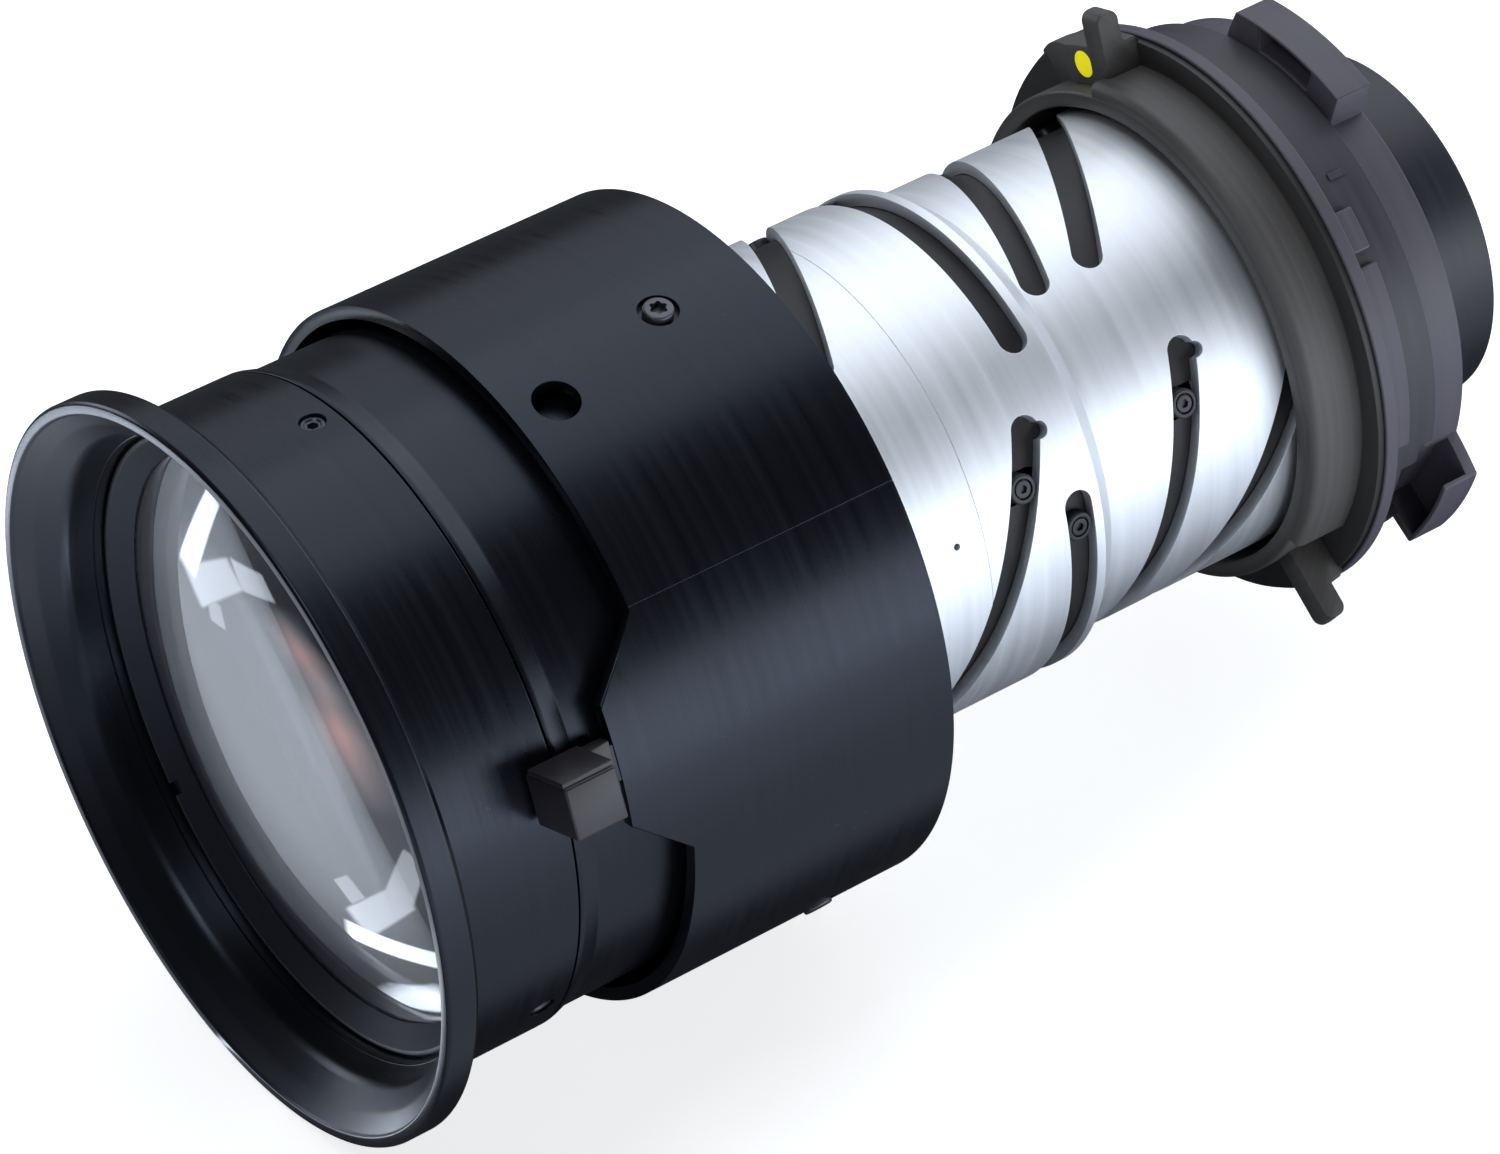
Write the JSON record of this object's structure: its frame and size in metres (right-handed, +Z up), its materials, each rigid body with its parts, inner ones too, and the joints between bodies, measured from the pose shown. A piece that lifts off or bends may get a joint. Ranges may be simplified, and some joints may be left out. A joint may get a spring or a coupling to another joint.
{
  "type": "projection lens",
  "caption": "Zoom lens of an installation projector with a bayonet mount, a slotted silver cam barrel, sliding lens groups, a zoom ring with a lever and a focusing front with a flared hood.",
  "frame": {"origin": "on the optical axis, in the plane where the bayonet flange seats", "axes": "+Y along the optical axis towards the mount's rear, -Y out of the hood, +Z up"},
  "size_m": [0.1124, 0.205, 0.111],
  "materials": {
    "bayonet_grey": "blue-grey satin anodised",
    "collar_grey": "brownish grey satin anodised",
    "yellow_paint": "painted dot",
    "dark_screw": "blackened steel",
    "black_satin": "black satin anodised",
    "black_anodised": "black anodised, fine turned",
    "roller_plastic": "dark bearing plastic",
    "lens_glass": "coated optical glass",
    "lever_black": "black satin with light edges",
    "silver_turned": "clear anodised, turned round the axis",
    "black_matt": "matt black stray-light coating"
  },
  "bodies": {
    "mount": {"bayonet_ring": "bayonet_grey", "mount_collar": "collar_grey", "index_dot": "yellow_paint", "collar_screws": "dark_screw", "guide_barrel": "black_satin", "front_tube": "black_anodised", "tube_flange_screws": "dark_screw", "keeper_rollers": "roller_plastic", "keeper_screws": "dark_screw", "rear_barrel": "black_satin", "rear_element": "lens_glass", "rear_retainer": "black_satin", "rear_flange_screws": "dark_screw"},
    "zoom": {"zoom_ring": "black_anodised", "zoom_lever": "lever_black", "lever_screw": "dark_screw", "cam_hub": "silver_turned", "cam_barrel": "silver_turned", "zoom_ring_screws": "dark_screw"},
    "front_zoom_group": {"front_zoom_cell": "black_satin", "front_zoom_element": "lens_glass", "front_zoom_retainer": "black_satin", "front_zoom_rollers": "roller_plastic", "front_zoom_roller_screws": "dark_screw"},
    "middle_zoom_group": {"middle_zoom_cell": "black_satin", "middle_zoom_element": "lens_glass", "middle_zoom_retainer": "black_satin", "middle_zoom_rollers": "roller_plastic", "middle_zoom_roller_screws": "dark_screw"},
    "rear_zoom_group": {"rear_zoom_cell": "black_satin", "rear_zoom_element": "lens_glass", "rear_zoom_retainer": "black_satin", "rear_zoom_rollers": "roller_plastic", "rear_zoom_roller_screws": "dark_screw"},
    "front_group": {"front_cell": "black_satin", "front_element": "lens_glass", "second_element": "lens_glass", "third_element": "lens_glass", "element_spacer": "black_matt", "second_retainer": "black_satin", "third_retainer": "black_satin", "front_retainer": "black_anodised", "cell_keys": "dark_screw"},
    "focus": {"hood": "black_anodised", "focus_ring": "black_anodised", "focus_set_screws": "dark_screw"}
  },
  "joints": [
    {"name": "zoom_turn", "type": "hinge", "parent": "mount", "child": "zoom", "pos_m": [0, 0, 0], "axis": [0, 1, 0], "range_deg": [-72, 5]},
    {"name": "front_zoom_slide", "type": "slide", "parent": "mount", "child": "front_zoom_group", "axis": [0, 1, 0], "range_m": [-0.0192, 0.0014]},
    {"name": "middle_zoom_slide", "type": "slide", "parent": "mount", "child": "middle_zoom_group", "axis": [0, 1, 0], "range_m": [-0.0123, 0.0009]},
    {"name": "rear_zoom_slide", "type": "slide", "parent": "mount", "child": "rear_zoom_group", "axis": [0, 1, 0], "range_m": [-0.023, 0.0016]},
    {"name": "focus_travel", "type": "slide", "parent": "mount", "child": "front_group", "axis": [0, -1, 0], "range_m": [0, 0.004]},
    {"name": "focus_turn", "type": "hinge", "parent": "front_group", "child": "focus", "pos_m": [0, 0, 0], "axis": [0, -1, 0], "range_deg": [0, 120]}
  ],
  "couplings": [
    {"joint": "front_zoom_slide", "follows": "zoom_turn", "m_per_rad": 0.015241},
    {"joint": "middle_zoom_slide", "follows": "zoom_turn", "m_per_rad": 0.0097403},
    {"joint": "rear_zoom_slide", "follows": "zoom_turn", "m_per_rad": 0.01822},
    {"joint": "focus_travel", "follows": "focus_turn", "m_per_rad": 0.0019}
  ]
}
